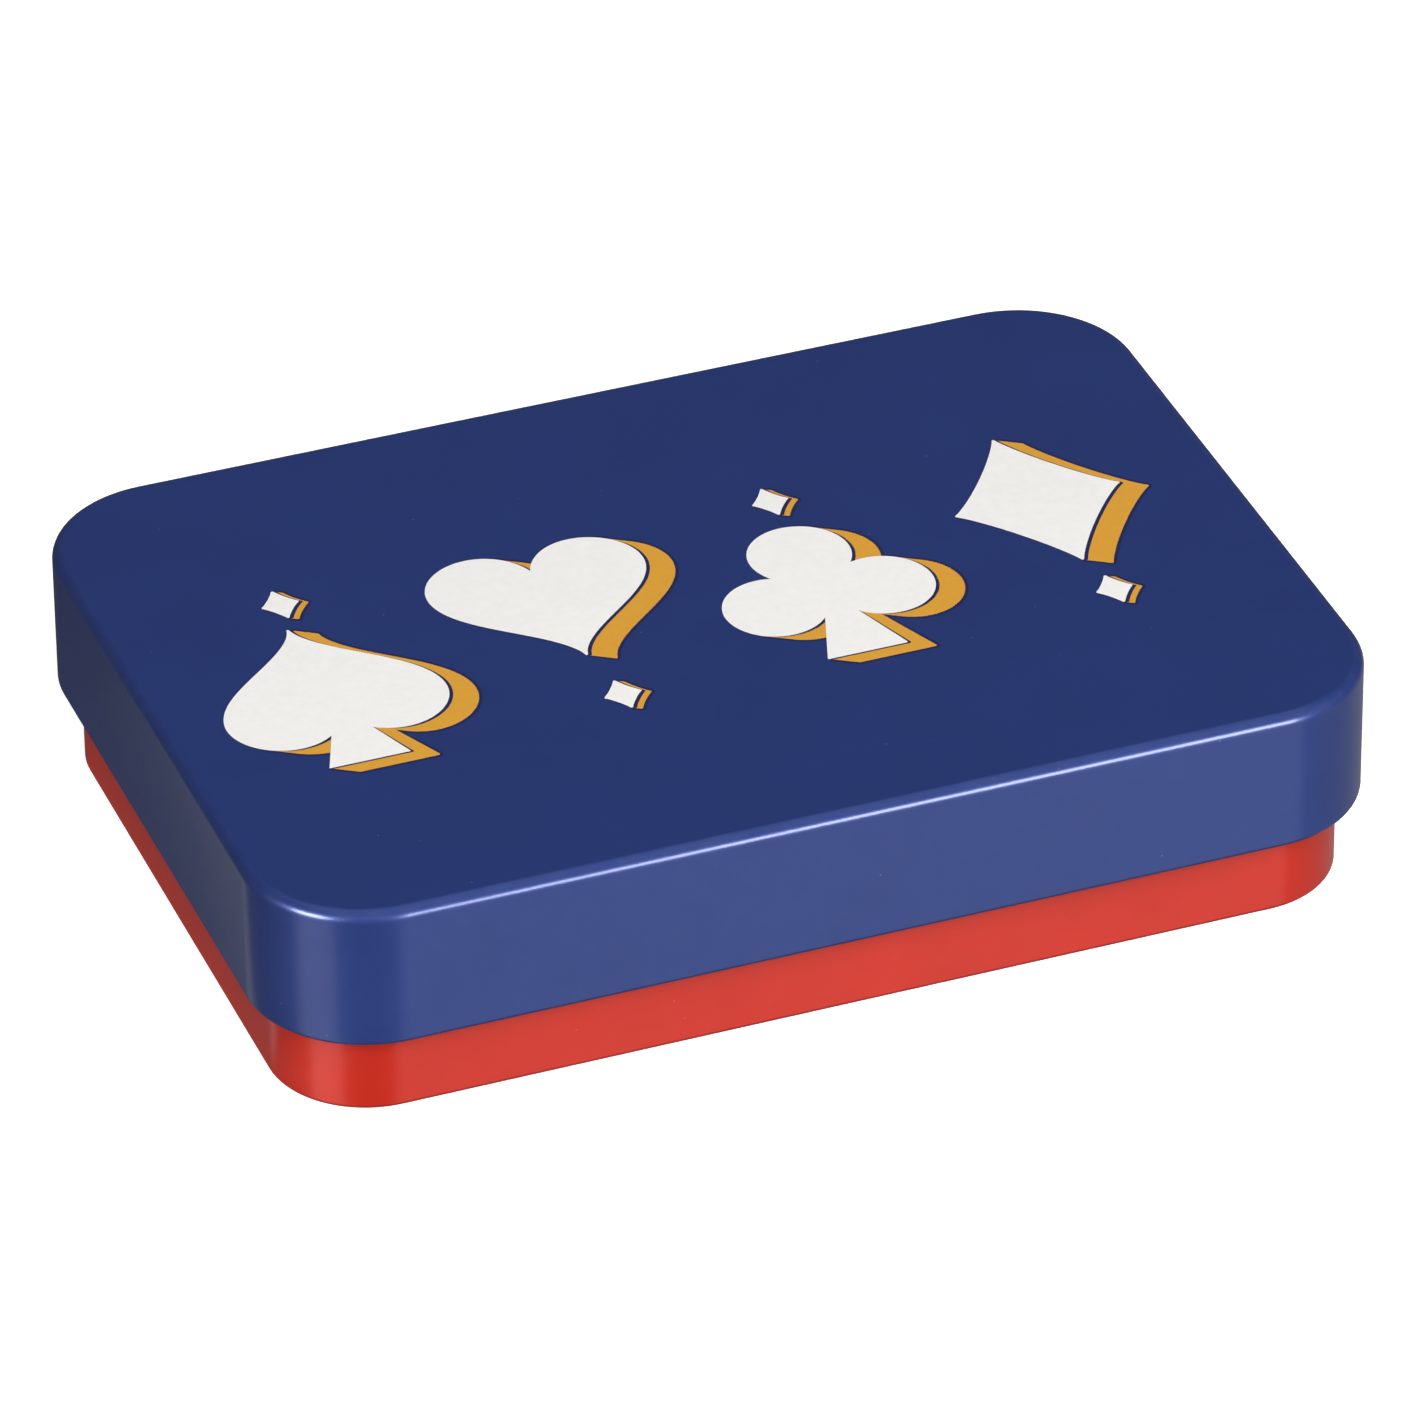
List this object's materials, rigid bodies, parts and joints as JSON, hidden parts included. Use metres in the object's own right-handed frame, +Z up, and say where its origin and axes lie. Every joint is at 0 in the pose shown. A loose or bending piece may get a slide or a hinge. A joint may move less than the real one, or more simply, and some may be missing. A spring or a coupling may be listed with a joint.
{
  "type": "card game tin with hinged lid",
  "caption": "Rectangular playing card tin with round corners: a deep blue lid hinged on a wire over a red base, with a formed tray, a deck of cards and a rules leaflet inside.",
  "frame": {"origin": "on the surface that the tin stands on, under the middle of the closed tin", "axes": "+X along the tin's length, +Z up, the front at -Y and the hinge at +Y"},
  "size_m": [0.106, 0.075, 0.0227],
  "materials": {
    "blue_lacquer": "satin printed lacquer on tinplate",
    "red_lacquer": "gloss printed lacquer on tinplate",
    "steel_wire": "drawn steel wire",
    "black_plastic": "vacuum-formed polystyrene sheet",
    "leaflet_paper": "uncoated printing paper",
    "card_stock": "varnished playing card board"
  },
  "bodies": {
    "base": {"base": "red_lacquer", "hinge_wire": "steel_wire", "insert_tray": "black_plastic", "rules_leaflet": "leaflet_paper", "cards_spades": "card_stock", "cards_hearts": "card_stock", "cards_clubs": "card_stock", "cards_diamonds": "card_stock", "cards_jokers": "card_stock"},
    "lid": {"lid": "blue_lacquer"}
  },
  "joints": [
    {"name": "lid_hinge", "type": "hinge", "parent": "base", "child": "lid", "pos_m": [0, 0.03685, 0.00915], "axis": [-1, 0, 0], "range_deg": [0, 130]}
  ]
}
